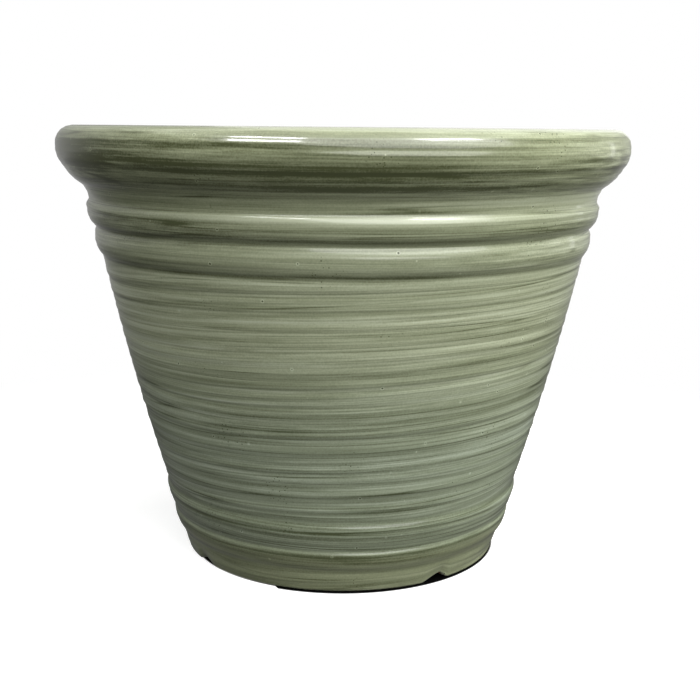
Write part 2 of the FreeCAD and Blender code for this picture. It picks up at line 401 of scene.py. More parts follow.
def eased(line, radius, closed):
    """The line with its corners eased: every point becomes the Gaussian average of its
    neighbours, after the line is stepped evenly.
    """
    if closed:
        line = np.vstack((line, line[:1]))
    run = run_length(line)
    count = int(run[-1] / OUTLINE_STEP)
    even = np.linspace(0, run[-1], count, endpoint=not closed)
    points = np.stack([np.interp(even, run, axis) for axis in line.T], 1)
    reach = int(math.ceil(4 * radius / OUTLINE_STEP))
    weights = np.exp(-0.5 * (np.arange(-reach, reach + 1) * OUTLINE_STEP / radius) ** 2)
    weights /= weights.sum()
    if closed:
        padded = np.vstack((points[-reach:], points, points[:reach]))
    else:
        before = 2 * points[0] - points[reach:0:-1]
        after = 2 * points[-1] - points[-2 : -reach - 2 : -1]
        padded = np.vstack((before, points, after))
    return np.stack([np.convolve(axis, weights, "valid") for axis in padded.T], 1)


def spread(low, high, density, count):
    """This many places from low up to high, closest where density is highest: they lie at equal
    steps of the running sum of density, which is taken over 6000 fine places.
    """
    fine = np.linspace(low, high, 6000)
    values = density(fine)
    total = running_sum(0.5 * (values[1:] + values[:-1]))
    return np.interp(np.linspace(0, total[-1], count, endpoint=False), total, fine)


def waves(turn, height, seed, count, laps, pitches):
    """A smooth random field round the pot, about -2 to 2: the sum of waves
    cos(n * turn + 2 pi height / pitch + phase), n a whole number of laps and pitch in mm.
    """
    rng = np.random.default_rng(seed)
    field = np.zeros(np.broadcast(turn, height).shape)
    for _ in range(count):
        lap = rng.integers(-laps, laps + 1)
        pitch = rng.uniform(*pitches)
        field += np.cos(lap * turn + 2 * math.pi * height / pitch + rng.uniform(0, 2 * math.pi))
    return field / math.sqrt(count / 2)


def smooth_step(value, low, high):
    """0 below low, 1 above high and 3 t^2 - 2 t^3 between them."""
    share = np.clip((value - low) / (high - low), 0, 1)
    return share * share * (3 - 2 * share)


def zone(value, begins, full, fades, ends):
    """1 from full to fades, and 0 below begins and above ends, with smooth steps between."""
    return smooth_step(value, begins, full) * (1 - smooth_step(value, fades, ends))


def bump(value, centre, width):
    """A bell, exp(-((value - centre) / width)^2)."""
    return np.exp(-(((value - centre) / width) ** 2))


def mix(first, second, share):
    """From the first to the second: first + (second - first) * share."""
    return first + (second - first) * share


def turned_from(turn, direction):
    """The angle from a direction in degrees to turn, in radians from -pi to pi."""
    return (turn - math.radians(direction) + math.pi) % (2 * math.pi) - math.pi


def grid_faces(rows, columns, close_rows):
    """Quads of a grid that is closed round its columns, and round its rows if asked."""
    last = rows if close_rows else rows - 1
    row = np.arange(last)[:, None] * columns
    above = (row + columns) % (rows * columns)
    column = np.arange(columns)[None, :]
    after = (column + 1) % columns
    return np.stack((row + column, row + after, above + after, above + column), -1).reshape(-1, 4)


def mesh_piece(name, points, faces, materials, slots=None, attributes=None):
    """A smooth-shaded mesh object from whole arrays of points in mm and faces."""
    mesh = bpy.data.meshes.new(name)
    mesh.from_pydata((np.asarray(points) * MM).tolist(), [], [list(face) for face in faces])
    for material in materials:
        mesh.materials.append(material)
    if slots is not None:
        mesh.polygons.foreach_set("material_index", np.asarray(slots, np.int32))
    for key, values in (attributes or {}).items():
        layer = mesh.attributes.new(key, "FLOAT", "POINT")
        layer.data.foreach_set("value", np.asarray(values, np.float32).ravel())
    mesh.shade_smooth()
    mesh.update()
    if mesh.validate():
        raise RuntimeError(f"{name} has faulty faces")
    piece = bpy.data.objects.new(name, mesh)
    bpy.context.scene.collection.objects.link(piece)
    return piece


def add(tree, kind, *values, inputs=None, **settings):
    """Adds a node of this kind, with its own settings. Values fill its first inputs in order and
    inputs the ones they name; a node given as a value is linked by its first output.
    """
    made = tree.nodes.new("ShaderNode" + kind)
    for key, value in settings.items():
        setattr(made, key, value)
    for key, value in [*enumerate(values), *(inputs or {}).items()]:
        if isinstance(value, bpy.types.Node):
            value = value.outputs[0]
        if isinstance(value, bpy.types.NodeSocket):
            tree.links.new(value, made.inputs[key])
        else:
            made.inputs[key].default_value = value
    return made


def new_material(name):
    """An empty node material and its tree."""
    material = bpy.data.materials.new(name)
    material.use_nodes = True
    material.node_tree.nodes.clear()
    return material, material.node_tree


def streaks(tree, place, lay, length, pitch, detail, roughness=0.5, shift=0.0):
    """Noise drawn out round the pot: its marks are length mm long round it and pitch mm wide up
    it. Lay is the distance up the pot's outline in mm, and shift keeps two patterns apart.
    """
    split = add(tree, "SeparateXYZ", place)
    along = 1 / (length * MM)
    across_x = add(tree, "Math", split.outputs[0], along, shift, operation="MULTIPLY_ADD")
    across_y = add(tree, "Math", split.outputs[1], along, operation="MULTIPLY")
    up = add(tree, "Math", lay, 1 / pitch, shift, operation="MULTIPLY_ADD")
    vector = add(tree, "CombineXYZ", across_x, across_y, up)
    inputs = {"Vector": vector, "Scale": 1.0, "Detail": detail, "Roughness": roughness}
    return add(tree, "TexNoise", inputs=inputs)


def speckle(tree, place, size, detail):
    """Noise whose marks are about size mm across."""
    inputs = {"Vector": place, "Scale": 1 / (size * MM), "Detail": detail}
    return add(tree, "TexNoise", inputs=inputs)


def dots(tree, place, spacing, size, shift):
    """1 in round dots of this size in mm, about spacing mm apart in space, and 0 between them.
    A dot fades out from 0.7 to 1.3 of its radius.
    """
    moved = add(tree, "VectorMath", place, (shift, shift, shift), operation="ADD")
    cells = add(tree, "TexVoronoi", inputs={"Vector": moved, "Scale": 1 / (spacing * MM)})
    reach = size / 2 / spacing
    return add(tree, "MapRange", cells, 0.7 * reach, 1.3 * reach, 1.0, 0.0)


def bristle_lines(tree, place, lay):
    """Thin dark lines, where glaze ran together in the marks of single bristles. They follow the
    middle value of a streaked noise, and are faint where a second one is low.
    """
    lines = streaks(tree, place, lay, 330, 5.5, 0.0, shift=12.9)
    from_middle = add(tree, "Math", lines, 0.5, operation="SUBTRACT")
    from_middle = add(tree, "Math", from_middle, operation="ABSOLUTE")
    line = add(tree, "MapRange", from_middle, 0.0, 0.03, 1.0, 0.0, interpolation_type="SMOOTHSTEP")
    gaps = streaks(tree, place, lay, 60, 30, 1.0, shift=21.7)
    depth = add(tree, "MapRange", gaps, 0.4, 0.6, 0.05, 0.4)
    return add(tree, "Math", line, depth, operation="MULTIPLY")


def glaze_flaws(tree, place, holes):
    """What firing leaves in the glaze, as a change of tone: pale specks, pinholes with a pale
    rim, and patches of tiny pits. The pits are drawn larger than real ones, which wouldn't show.
    """
    rims = dots(tree, place, 16, 2.2, 0)
    specks = dots(tree, place, 23, 1.1, 0.31)
    pits = dots(tree, place, 2.4, 0.8, 0.13)
    patch = add(tree, "MapRange", speckle(tree, place, 26, 0.0), 0.66, 0.76, 0.0, -0.7)
    flaws = add(tree, "Math", pits, patch, operation="MULTIPLY")
    flaws = add(tree, "Math", rims, 0.35, flaws, operation="MULTIPLY_ADD")
    flaws = add(tree, "Math", specks, 0.4, flaws, operation="MULTIPLY_ADD")
    return add(tree, "Math", holes, -1.6, flaws, operation="MULTIPLY_ADD")


def glaze_tint(tree, place):
    """What the glaze's colour is multiplied by, by height: olive on the foot and the rim, and
    greyer low on the wall.
    """
    level = add(tree, "SeparateXYZ", place).outputs[2]
    ramp_height = 300 * MM
    share = add(tree, "Math", level, 1 / ramp_height, operation="MULTIPLY")
    tint = add(tree, "ValToRGB", share)
    stops = tint.color_ramp.elements
    stops[0].position = 0.075
    stops[0].color = (1, 1, 0.93, 1)
    stops[1].position = 0.9
    stops[1].color = (1, 1, 0.92, 1)
    stops.new(0.1).color = (0.9, 0.937, 0.99, 1)
    stops.new(0.32).color = (0.9, 0.937, 0.99, 1)
    stops.new(0.55).color = (1, 1, 0.97, 1)
    stops.new(0.75).color = (1, 1, 0.98, 1)
    return tint


def sage_glaze(colours):
    """Glossy glaze brushed on while the pot turned: dark where it pools in grooves, pale where the
    brush drew it thin over a ridge, pinholed here and there, with a smooth glassy face. Its shade
    attribute also brings in painted shade and painted highlights.
    """
    material, tree = new_material("sage_brushed_glaze")
    place = add(tree, "TexCoord").outputs["Object"]
    lay = add(tree, "Attribute", attribute_name="lay").outputs["Fac"]
    shade = add(tree, "Attribute", attribute_name="shade").outputs["Fac"]
    sweep = add(tree, "Attribute", attribute_name="sweep").outputs["Fac"]
    dabbing = add(tree, "Attribute", attribute_name="dabbing").outputs["Fac"]

    # Long marks of the whole brush, of its tufts and of its bristles. Each noise is about 0.5,
    # so the number that starts a chain of sums brings its middle back to 0.
    brush = streaks(tree, place, lay, 500, 12, 1.0)
    tufts = streaks(tree, place, lay, 400, 4.0, 2.0, shift=7.3)
    bristles = streaks(tree, place, lay, 150, 1.2, 2.0, 0.65, shift=3.1)
    long_marks = add(tree, "Math", brush, 0.5, -1.225, operation="MULTIPLY_ADD")
    long_marks = add(tree, "Math", tufts, 0.75, long_marks, operation="MULTIPLY_ADD")
    long_marks = add(tree, "Math", bristles, 1.2, long_marks, operation="MULTIPLY_ADD")
    # The shade attribute adds the painted shade and painted highlights, with the single strokes.
    tone = add(tree, "Math", long_marks, sweep, shade, operation="MULTIPLY_ADD")

    # Short marks, where the brush was dabbed, and the grain of the glaze. Its grain is drawn as
    # 1.1 mm, because the real one is too fine to show.
    dabs = streaks(tree, place, lay, 34, 2.2, 3.0, 0.6, shift=33.1)
    grain = speckle(tree, place, 1.1, 1.0)
    short_marks = add(tree, "Math", dabs, 1.5, -0.9, operation="MULTIPLY_ADD")
    short_marks = add(tree, "Math", grain, 0.3, short_marks, operation="MULTIPLY_ADD")
    tone = add(tree, "Math", short_marks, dabbing, tone, operation="MULTIPLY_ADD")
    even_grain = add(tree, "Math", grain, 0.2, -0.1, operation="MULTIPLY_ADD")
    tone = add(tree, "Math", tone, even_grain, operation="ADD")

    # Single lines and flaws on top of them. The tone is now about 0, and the ramp's middle 0.5.
    holes = dots(tree, place, 16, 1.2, 0)
    tone = add(tree, "Math", tone, bristle_lines(tree, place, lay), operation="SUBTRACT")
    tone = add(tree, "Math", tone, glaze_flaws(tree, place, holes), operation="ADD")
    tone = add(tree, "Math", tone, 0.5, operation="ADD")

    ramp = add(tree, "ValToRGB", tone)
    stops = ramp.color_ramp.elements
    stops[0].color = (*colours.glaze_dark, 1)
    stops[1].color = (*colours.glaze_light, 1)
    stops.new(0.5).color = (*colours.glaze_mid, 1)
    glaze = add(tree, "VectorMath", ramp, glaze_tint(tree, place), operation="MULTIPLY")

    # The skin follows the marks of the tufts and bristles, and sinks in at the pinholes.
    relief = add(tree, "Math", bristles, 0.6, tufts, operation="MULTIPLY_ADD")
    relief = add(tree, "Math", holes, -1.2, relief, operation="MULTIPLY_ADD")
    skin = add(tree, "Bump", inputs={"Strength": 0.35, "Distance": 0.3 * MM, "Height": relief})
    surface = {
        "Base Color": glaze,
        "Roughness": 0.33,
        "IOR": 1.45,
        "Coat Weight": 0.8,
        "Coat Roughness": 0.085,
        "Normal": skin,
    }
    add(tree, "OutputMaterial", add(tree, "BsdfPrincipled", inputs=surface))
    return material


def bare_clay(colours):
    """Terracotta with no glaze, turned and fired: dry, open pored and slightly mottled."""
    material, tree = new_material("bare_terracotta")
    place = add(tree, "TexCoord").outputs["Object"]
    mottle = speckle(tree, place, 14, 4.0)
    grain = speckle(tree, place, 0.9, 2.0)
    tone = add(tree, "Math", grain, 0.5, mottle, operation="MULTIPLY_ADD")
    ramp = add(tree, "ValToRGB", tone)
    stops = ramp.color_ramp.elements
    stops[0].position = 0.45
    stops[0].color = (*colours.clay_dark, 1)
    stops[1].position = 0.95
    stops[1].color = (*colours.clay, 1)
    skin = add(tree, "Bump", inputs={"Strength": 0.5, "Distance": 0.25 * MM, "Height": grain})
    surface = {"Base Color": ramp, "Roughness": 0.9, "IOR": 1.5, "Normal": skin}
    add(tree, "OutputMaterial", add(tree, "BsdfPrincipled", inputs=surface))
    return material


def moulded_rubber(colours):
    """Black natural rubber, compression moulded: a dull sheen and a fine even grain."""
    material, tree = new_material("moulded_rubber")
    place = add(tree, "TexCoord").outputs["Object"]
    grain = speckle(tree, place, 0.5, 2.0)
    bloom = speckle(tree, place, 9, 2.0)
    ramp = add(tree, "ValToRGB", bloom)
    stops = ramp.color_ramp.elements
    stops[0].position = 0.3
    stops[0].color = (*colours.rubber, 1)
    stops[1].position = 0.9
    stops[1].color = (*colours.rubber_bloom, 1)
    skin = add(tree, "Bump", inputs={"Strength": 0.3, "Distance": 0.08 * MM, "Height": grain})
    surface = {"Base Color": ramp, "Roughness": 0.55, "IOR": 1.52, "Normal": skin}
    add(tree, "OutputMaterial", add(tree, "BsdfPrincipled", inputs=surface))
    return material


def outline_rows(corners, easing, spacing):
    """The eased outline through the corners, as rows of points spaced as spacing(run, line)
    says, with each row's direction and its run along the outline.
    """
    ends = corners[1:] + corners[:1]
    pieces = [stretch(start[:2], end[:2], start[2]) for start, end in zip(corners, ends)]
    line = eased(np.vstack(pieces), easing, closed=True)
    run = run_length(line)
    density = 1 / spacing(run, line)
    total = running_sum(0.5 * (density[1:] + density[:-1]) * np.diff(run))
    places = np.interp(np.linspace(0, total[-1], int(total[-1]), endpoint=False), total, run)
    rows = np.stack([np.interp(places, run, axis) for axis in line.T], 1)
    slope = np.gradient(line, run, axis=0)
    way = np.stack([np.interp(places, run, axis) for axis in slope.T], 1)
    way /= np.hypot(*way.T)[:, None]
    return rows, way, places


def landmarks(run, radius, height):
    """The run at the foot's outer edge and at the top of the rim: where the eased outline first
    comes within 0.7 mm of the foot's radius, and within 0.3 mm of the full height.
    """
    foot = run[np.argmax(radius > FOOT_RADIUS - 0.7)]
    lip = run[np.argmax(height > HEIGHT - 0.3)]
    return foot, lip


def row_spacing(run, line):
    """How far apart the rows are along the outline: close outside from 4 mm under the foot's
    edge on, closest on the shoulders, wider inside, and widest on the underside, the floor and
    the bend above it, which ends 10 mm up.
    """
    radius, height = line.T
    foot, lip = landmarks(run, radius, height)
    inside = smooth_step(run - lip, *INSIDE_BEGINS)
    outside = smooth_step(run - foot, -4, 0) * (1 - inside)
    shoulders = sum(bump(height, middle, reach) for middle, reach in SHOULDERS)
    apart = mix(ROWS_UNSEEN, ROWS_INSIDE, inside * smooth_step(height - FLOOR_TOP, 2, 10))
    return mix(apart, mix(ROWS_OUTSIDE, ROWS_SHOULDER, np.clip(shoulders, 0, 1)), outside)


def turn_steps(columns):
    """Directions round the pot in radians, 2.4 times as close across the foot notches."""
    reach = math.radians(7)

    def density(turn):
        return 1 + 1.4 * sum(bump(turned_from(turn, direction), 0, reach) for direction, _ in NOTCHES)

    return spread(0, 2 * math.pi, density, columns)


def pot_grid(sizes):
    """The pot's outline turned about Z: rows up the outline and columns round it, and the zones
    that its relief and its glaze follow, each 1 on its part of the pot and 0 off it.
    """
    rows, way, run = outline_rows(POT_OUTLINE, sizes.easing / MM, row_spacing)
    foot_run, lip_run = landmarks(run, *rows.T)
    grid = SimpleNamespace(foot_run=foot_run, lip_run=lip_run)
    grid.run = run[:, None]
    grid.turn = turn_steps(sizes.columns)[None, :]
    grid.radius, grid.height = rows.T[:, :, None]
    grid.way_out, grid.way_up = way.T[:, :, None]

    # The outside begins at the foot's edge, and the inside ends in the bend above the floor.
    past_lip = grid.run - lip_run
    grid.outside = smooth_step(grid.run - foot_run, -1, 1) * (1 - smooth_step(past_lip, *OUTSIDE_ENDS))
    grid.inside = smooth_step(past_lip, *INSIDE_BEGINS) * smooth_step(grid.height - FLOOR_TOP, 2, 12)
    grid.base = grid.outside * zone(grid.height, *ON_BASE)
    grid.wall = grid.outside * zone(grid.height, *ON_WALL)
    grid.beads = grid.outside * zone(grid.height, *ON_BEADS)
    grid.upper = zone(grid.height, *ON_UPPER)
    grid.rim = zone(grid.height, *ON_RIM)

    # The brush climbed towards +X on the wall and wavered by about 0.9 mm, so the lay of its
    # marks is the run along the outline less that climb.
    climb = math.tan(sizes.ridge_tilt) * grid.radius * np.cos(grid.turn)
    waver = 0.9 * waves(grid.turn, grid.run, seed=3, count=10, laps=3, pitches=(60, 160))
    grid.lay = grid.run - grid.wall * climb + waver
    return grid


def pot_relief(grid, ridge_depth):
    """How far the surface stands off the turned outline, in mm: soft ridges and sharper cuts on
    the wall, brush marks on the rim and beads, and throwing rings inside. Each is a field of
    waves, and a cut lies where its field is near 0. In patches the ridges and cuts fade to 0.35
    of their depth.
    """
    patches = waves(grid.turn, grid.run, seed=21, count=14, laps=4, pitches=(25, 90))
    strength = mix(0.35, 1, smooth_step(patches, -1.2, 0.9))
    ridges = waves(0, grid.lay, seed=11, count=26, laps=0, pitches=(5, 15))
    cuts = bump(waves(0, grid.lay, seed=5, count=14, laps=0, pitches=(8, 19)), 0, 0.45)
    relief = ridge_depth * grid.wall * strength * (ridges - 0.9 * cuts)
    # The brush marks are cut in by about 0.4 to 4.4 times their depth and never raised, so the
    # rim keeps inside its full size.
    brush = np.minimum(waves(grid.turn, grid.lay, seed=8, count=20, laps=2, pitches=(3, 8)), 2.0) - 2.4
    rings = waves(grid.turn, grid.run, seed=81, count=9, laps=1, pitches=(12, 30))
    brushed = grid.outside - grid.wall
    return relief + BRUSH_DEPTH * brushed * brush + RING_DEPTH * grid.inside * rings


def notch_lift(turn, width, height):
    """How far the foot's edge is cut away round the pot: in each notch, height * (1 - |v|^1.3),
    where v runs from -1 at its one end over 0 at its leaning crown to 1 at its other end.
    """
    lift = np.zeros_like(turn)
    half = width / 2 / FOOT_RADIUS
    for direction, lean in NOTCHES:
        share = turned_from(turn, direction) / half - lean
        share /= np.where(share < 0, 1 + lean, 1 - lean)
        lift = np.maximum(lift, height * (1 - np.abs(share) ** 1.3))
    return lift


def pot_points(grid, sizes, glaze_edge):
    """The pot's points: the turned outline, moved along its normal by the relief, up and down by
    the waver of the beads, along itself where the glaze ends in a wavy edge inside, inwards
    where the foot was trimmed and up where its notches are cut.
    """
    relief = pot_relief(grid, sizes.ridge_depth / MM)
    slide = waves(grid.turn, 0, seed=71, count=9, laps=9, pitches=(10, 20))
    slide = EDGE_WAVER * bump(grid.run, glaze_edge, EDGE_REACH) * slide
    across = grid.radius + grid.way_up * relief + grid.way_out * slide
    up = grid.height - grid.way_out * relief + grid.way_up * slide

    waver = grid.beads * waves(grid.turn, grid.height, seed=31, count=6, laps=5, pitches=(90, 200))
    waver += grid.base * waves(grid.turn, grid.height, seed=32, count=6, laps=5, pitches=(90, 200))
    up += sizes.bead_waver / MM * waver

    direction, reach, depth, end = TRIM
    trim = depth * bump(turned_from(grid.turn, direction), 0, reach)
    across -= trim * grid.outside * np.clip(1 - grid.height / end, 0, 1)

    lift = notch_lift(grid.turn, sizes.notch_width / MM, sizes.notch_height / MM)
    full = np.where(grid.radius > FOOT_MIDDLE, FOOT_HEIGHT, FOOT_HOLLOW)
    up += lift * np.clip(1 - grid.height / full, 0, 1)
    return np.stack((across * np.cos(grid.turn), across * np.sin(grid.turn), up), -1)


def painted_light_and_pooling(turn, height):
    """Depth of tone of the glaze, from 0 for its middle tone up to about 1 for its darkest: painted
    shade and painted highlights, with the glaze pooled in the creases. Each band adds its depth over
    its zone, and each crease, ring and patch adds its depth times a bell over its height. Bands and
    rings differ on the two sides of the pot, creases are uneven round it, and patches have a bell over
    their direction.
    """
    west = smooth_step(-np.cos(turn), 0, 1)
    east = smooth_step(np.cos(turn), 0, 1)
    uneven = 1 + 0.4 * waves(turn, height, seed=61, count=6, laps=4, pitches=(90, 200))
    tone = 0
    for *heights, depth, on_west, on_east in PAINTED_LIGHT_BANDS:
        tone = tone + (depth + on_west * west + on_east * east) * zone(height, *heights)
    for middle, reach, depth in CREASE_POOLING_AND_SHADE:
        tone = tone + depth * uneven * bump(height, middle, reach)
    for middle, reach, depth, on_west, on_east in PAINTED_LIGHT_RINGS:
        tone = tone + (depth + on_west * west + on_east * east) * bump(height, middle, reach)
    for direction, middle, length, width, depth in PAINTED_LIGHT_PATCHES:
        along = bump(turned_from(turn, direction), 0, math.radians(length))
        tone = tone + depth * along * bump(height, middle, width)
    return tone


def glaze_layers(grid):
    """What the glaze's material reads at each point: the lay of the brush marks in mm, the shade,
    which holds the painted shade and painted highlights, the glaze pooled in the creases and single
    strokes, and how strongly long and short marks show. Strokes show more on the rim. Long marks show
    less above the wall and least on the foot. Short marks come in patches, and show more above the
    wall and most on the rim, but less in front.
    """
    turn = grid.turn
    strokes = waves(turn, grid.lay, seed=41, count=24, laps=7, pitches=(3, 11))
    strokes = strokes * (0.04 + 0.03 * grid.rim)
    calm = 0.6 * grid.upper * bump(turned_from(turn, FRONT), 0, math.radians(35))
    patches = 1 + 0.3 * waves(turn, grid.run, seed=51, count=16, laps=5, pitches=(20, 70))
    # The shade is the single strokes less the painted shade; the painted highlights count below 0 and
    # lift it.
    return {
        "lay": grid.lay,
        "shade": (strokes - painted_light_and_pooling(turn, grid.height)) * grid.outside,
        "sweep": 1 - 0.35 * grid.upper - 0.6 * zone(grid.height, *ON_FOOT) + 0 * turn,
        "dabbing": (0.3 + 0.2 * grid.upper + 0.4 * grid.rim) * patches * (1 - calm),
    }


def build_pot(sizes, colours):
    """The pot: one closed skin, glazed outside and over the lip, and bare clay elsewhere."""
    grid = pot_grid(sizes)
    glaze_edge = grid.lip_run + LIP_WIDTH + sizes.glaze_depth / MM
    points = pot_points(grid, sizes, glaze_edge)
    rows, columns = points.shape[:2]
    glazed = (grid.run[:, 0] > grid.foot_run - GLAZE_UNDER) & (grid.run[:, 0] < glaze_edge)
    piece = mesh_piece(
        "pot_shell",
        points.reshape(-1, 3),
        grid_faces(rows, columns, close_rows=True),
        [sage_glaze(colours), bare_clay(colours)],
        np.repeat(np.where(glazed, 0, 1), columns),
        glaze_layers(grid),
    )
    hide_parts("pot")
    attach(piece, "pot")


def turned_piece(corners, easing, columns, step):
    """Points and faces of an outline turned about Z. The outline starts and ends on the axis,
    where its first and last points close the shape with fans of triangles.
    """
    pieces = [stretch(start[:2], end[:2], start[2]) for start, end in zip(corners, corners[1:])]
    line = eased(np.vstack([*pieces, [corners[-1][:2]]]), easing, closed=False)
    run = run_length(line)
    places = np.linspace(0, run[-1], int(run[-1] / step))[1:-1]
    radius, height = (np.interp(places, run, axis)[:, None] for axis in line.T)
    turn = np.linspace(0, 2 * math.pi, columns, endpoint=False)[None, :]
    points = np.stack((radius * np.cos(turn), radius * np.sin(turn), height + 0 * turn), -1)
    count = len(places)
    points = np.vstack((points.reshape(-1, 3), (0, 0, line[0, 1]), (0, 0, line[-1, 1])))
    low = count * columns
    high = low + 1
    column = np.arange(columns)
    after = (column + 1) % columns
    top = (count - 1) * columns
    faces = [*grid_faces(count, columns, close_rows=False).tolist()]
    faces += np.stack((np.full(columns, low), after, column), 1).tolist()
    faces += np.stack((np.full(columns, high), top + column, top + after), 1).tolist()
    return points, faces


def ring_tab(centre, half_width, crown, root, thickness, eye, columns=72, section=28):
    """Points and faces of the pull tab: a section swept round the eye. At the angle a round the
    eye, the tab's outline is where |cos a r / half_width|^p + |sin a r / drop|^p is 1: an oval
    of power 2.4 and height crown above the eye, and of power 6 and depth root below it. The
    section is a squarish oval, |cos b|^0.45 by |sin b|^0.45, between the eye and the outline.
    """
    turn = np.linspace(0, 2 * math.pi, columns, endpoint=False)[None, :]
    around = np.linspace(0, 2 * math.pi, section, endpoint=False)[:, None]
    power = np.where(np.sin(turn) > 0, 2.4, 6)
    drop = np.where(np.sin(turn) > 0, crown, root)
    sides = np.abs(np.cos(turn) / half_width) ** power
    outline = (sides + np.abs(np.sin(turn) / drop) ** power) ** (-1 / power)
    out = np.sign(np.cos(around)) * np.abs(np.cos(around)) ** 0.45
    through = np.sign(np.sin(around)) * np.abs(np.sin(around)) ** 0.45
    distance = (eye + outline) / 2 + out * (outline - eye) / 2
    y = -through * thickness / 2 + 0 * turn
    points = np.stack((distance * np.cos(turn), y, centre + distance * np.sin(turn)), -1)
    return points.reshape(-1, 3), grid_faces(section, columns, close_rows=True)


def build_plug(colours):
    """The drain plug: a stem with two sealing ribs under a domed flange with a raised ring, and a
    pull tab with an eye.
    """
    stem = 11.4
    flange = 18.5
    tab_crown = 6.0
    outline = (
        (0, PLUG_BOTTOM, 0),
        (10.3, PLUG_BOTTOM, 0),
        (stem, PLUG_BOTTOM + 1.4, 0),
        (stem, 11, 0.25),  # lower sealing rib
        (stem, 13, 0),
        (stem, 16, 0.25),  # upper sealing rib
        (stem, 18, 0),
        (stem, FLOOR_TOP, 0),
        (flange, FLOOR_TOP, 0),
        (flange, FLOOR_TOP + 2, 0),
        (14.2, FLOOR_TOP + 2.9, 0.5),  # raised ring
        (12.2, FLOOR_TOP + 2.8, 0),
        (8, FLOOR_TOP + 3.3, 0),
        (0, FLOOR_TOP + 3.5, 0),
    )
    points, faces = turned_piece(outline, easing=0.25, columns=96, step=0.4)
    tab_points, tab_faces = ring_tab(
        PLUG_TOP - tab_crown, half_width=7.5, crown=tab_crown, root=10.5, thickness=4, eye=3.5
    )
    faces += (tab_faces + len(points)).tolist()
    points = np.vstack((points, tab_points))
    piece = mesh_piece("drain_plug_rubber", points, faces, [moulded_rubber(colours)])
    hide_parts("drain_plug")
    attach(piece, "drain_plug")


def seen_directly(tree):
    """1 for what the camera, a reflection or a clear pane sees, and 0 for light on a surface."""
    path = add(tree, "LightPath").outputs
    mirrored = add(tree, "Math", path["Is Glossy Ray"], path["Is Transmission Ray"], operation="ADD")
    return add(tree, "Math", path["Is Camera Ray"], mirrored, operation="ADD", use_clamp=True)


def pale_floor():
    """A matt studio floor that looks white and gives little light back to the pot. Near the pot
    it is lit by the lamps and by a glow of its own, and from 0.3 to 0.6 m out it turns into plain
    white. It is black on a disc whose middle lies 3.8 mm forward of the pot's axis, which shows
    as the narrow shadow along the foot's front and right. The disc's radius is 107 mm, and 104 mm
    to the left of x = -40 mm, where it ends under the foot.
    """
    material, tree = new_material("pale_floor")
    place = add(tree, "TexCoord").outputs["Object"]
    forward = add(tree, "VectorMath", place, (0, 3.8 * MM, 0), operation="ADD")
    reach = add(tree, "VectorMath", forward, operation="LENGTH").outputs["Value"]
    side = add(tree, "SeparateXYZ", place)
    edge = add(tree, "MapRange", side, -41 * MM, -39 * MM, 104 * MM, 107 * MM)
    beyond = add(tree, "Math", reach, edge, operation="SUBTRACT")
    clear = add(tree, "MapRange", beyond, 0.0, 1.5 * MM, interpolation_type="SMOOTHSTEP")
    # A painted shadow: the floor is black on this disc, along the foot's front and right.
    dark = add(tree, "BsdfDiffuse", (0.003, 0.003, 0.003, 1))
    glow = add(tree, "Emission", (1, 1, 1, 1), 0.72)
    lit = add(tree, "AddShader", add(tree, "BsdfDiffuse", (0.6, 0.6, 0.6, 1)), glow)
    near = add(tree, "MixShader", clear, dark, lit)
    far = add(tree, "Emission", (1, 1, 1, 1), 1.0)
    distance = add(tree, "VectorMath", place, operation="LENGTH").outputs["Value"]
    share = add(tree, "MapRange", distance, 0.3, 0.6, interpolation_type="SMOOTHSTEP")
    seen = add(tree, "MixShader", share, near, far)
    dim = add(tree, "BsdfDiffuse", (0.12, 0.12, 0.12, 1))
    add(tree, "OutputMaterial", add(tree, "MixShader", seen_directly(tree), dim, seen))
    return material


def pale_world(strength):
    """White where it is seen, and a soft grey light on surfaces."""
    world = bpy.data.worlds.new("studio")
    bpy.context.scene.world = world
    world.use_nodes = True
    tree = world.node_tree
    tree.nodes.clear()
    white = add(tree, "Background", (1, 1, 1, 1), 1.0)
    soft = add(tree, "Background", (1, 1, 1, 1), strength)
    add(tree, "OutputWorld", add(tree, "MixShader", seen_directly(tree), soft, white))


def soft_box(name, azimuth, elevation, size, power, distance=1.6, gives="light and shine"):
    """A rectangular lamp that looks at a point 0.6 of the way up the pot, from this direction in
    degrees and this distance in metres. Azimuth 0 is in front of the pot and 90 on its right. It
    gives light, or shine in the glaze, or both.
    """
    lamp = bpy.data.lights.new(name, "AREA")
    lamp.shape = "RECTANGLE"
    lamp.size, lamp.size_y = size
    lamp.energy = power
    azimuth = math.radians(azimuth)
    elevation = math.radians(elevation)
    flat = math.cos(elevation)
    back = Vector((math.sin(azimuth) * flat, -math.cos(azimuth) * flat, math.sin(elevation)))
    target = Vector((0, 0, HEIGHT * MM * 0.6))
    turn = back.to_track_quat("Z", "Y").to_matrix().to_4x4()
    light = bpy.data.objects.new(name, lamp)
    light.matrix_world = Matrix.Translation(target + back * distance) @ turn
    light.visible_glossy = "shine" in gives
    light.visible_diffuse = "light" in gives
    bpy.context.scene.collection.objects.link(light)


def light_pot(stage):
    """The lamps: a large key in front on the right, softer light from above and both sides, and
    small boxes that only shine, on the beads and along the right-hand edge.
    """
    soft_box("key", 27, 29, (3.2, 2.4), stage.key, distance=2.2)
    soft_box("above", 35, 62, (1.2, 1.2), stage.above, gives="light")
    soft_box("side_left", -100, 20, (1.0, 1.0), stage.side_left, gives="light")
    soft_box("side_right", 108, 10, (1.0, 1.0), stage.side_right, gives="light")
    soft_box("glint_left", -34, 50, (0.6, 0.18), stage.glint, distance=1.5, gives="shine")
    soft_box("glint_right", 49, 50, (0.5, 0.26), stage.glint, distance=1.5, gives="shine")
    soft_box("edge_right", 121, 6, (0.12, 0.8), stage.edge, gives="shine")


